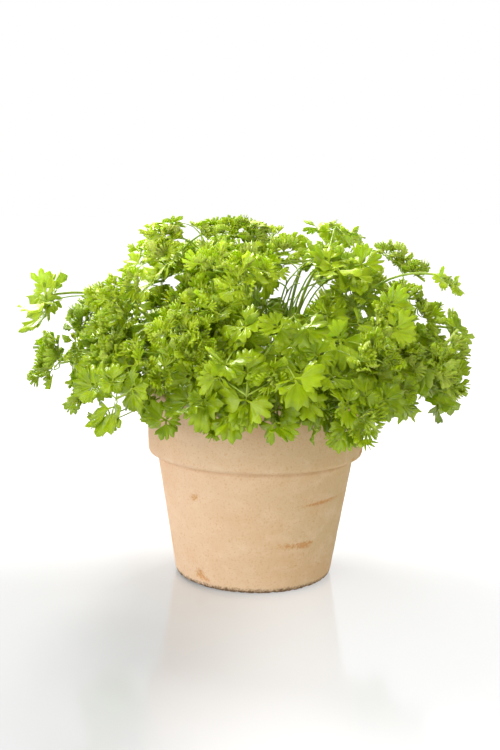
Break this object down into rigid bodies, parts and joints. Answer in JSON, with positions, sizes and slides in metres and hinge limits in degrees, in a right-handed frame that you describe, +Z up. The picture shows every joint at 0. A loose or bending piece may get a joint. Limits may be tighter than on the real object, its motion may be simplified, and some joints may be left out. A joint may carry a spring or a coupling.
{
  "type": "potted parsley plant",
  "caption": "Bushy dome of lobed parsley leaves on thin arching stalks, growing in soil in a plain tapered terracotta pot with a deep rim band.",
  "frame": {"origin": "middle of the pot's underside, in the plane of the surface it stands on", "axes": "+Z up along the pot's axis; the plant is looked at from -Y, with +X to that view's right"},
  "size_m": [0.283, 0.2598, 0.2304],
  "materials": {
    "terracotta": "matte",
    "potting_soil": "matte",
    "parsley_leaf": "satin",
    "parsley_stalk": "satin"
  },
  "bodies": {
    "root": {"leaf_back_left_end": "parsley_leaf", "leaf_back_left_left": "parsley_leaf", "leaf_back_left_right": "parsley_leaf", "leaf_back_middle_end": "parsley_leaf", "leaf_back_middle_left": "parsley_leaf", "leaf_back_middle_right": "parsley_leaf", "leaf_back_right_end": "parsley_leaf", "leaf_back_right_left": "parsley_leaf", "leaf_back_right_right": "parsley_leaf", "leaf_far_left_end": "parsley_leaf", "leaf_far_left_left": "parsley_leaf", "leaf_far_left_right": "parsley_leaf", "leaf_far_right_end": "parsley_leaf", "leaf_far_right_left": "parsley_leaf", "leaf_far_right_right": "parsley_leaf", "leaf_front_left_end": "parsley_leaf", "leaf_front_left_left": "parsley_leaf", "leaf_front_left_right": "parsley_leaf", "leaf_front_middle_end": "parsley_leaf", "leaf_front_middle_left": "parsley_leaf", "leaf_front_middle_right": "parsley_leaf", "leaf_front_right_end": "parsley_leaf", "leaf_front_right_left": "parsley_leaf", "leaf_front_right_right": "parsley_leaf", "leaf_left_low_end": "parsley_leaf", "leaf_left_low_left": "parsley_leaf", "leaf_left_low_right": "parsley_leaf", "leaf_right_low_end": "parsley_leaf", "leaf_right_low_left": "parsley_leaf", "leaf_right_low_right": "parsley_leaf", "leaf_right_outlier": "parsley_leaf", "leaf_top_back": "parsley_leaf", "leaf_top_back_right": "parsley_leaf", "leaf_top_front": "parsley_leaf", "leaf_top_left_end": "parsley_leaf", "leaf_top_left_left": "parsley_leaf", "leaf_top_left_right": "parsley_leaf", "leaf_top_middle": "parsley_leaf", "leaf_top_right_end": "parsley_leaf", "leaf_top_right_left": "parsley_leaf", "leaf_top_right_right": "parsley_leaf", "potting_soil": "potting_soil", "stalk_back_left": "parsley_stalk", "stalk_back_middle": "parsley_stalk", "stalk_back_right": "parsley_stalk", "stalk_far_left": "parsley_stalk", "stalk_far_right": "parsley_stalk", "stalk_front_left": "parsley_stalk", "stalk_front_middle": "parsley_stalk", "stalk_front_right": "parsley_stalk", "stalk_left_low": "parsley_stalk", "stalk_right_low": "parsley_stalk", "stalk_right_outlier": "parsley_stalk", "stalk_top_back": "parsley_stalk", "stalk_top_back_right": "parsley_stalk", "stalk_top_front": "parsley_stalk", "stalk_top_left": "parsley_stalk", "stalk_top_middle": "parsley_stalk", "stalk_top_right": "parsley_stalk", "terracotta_pot": "terracotta"}
  },
  "joints": []
}
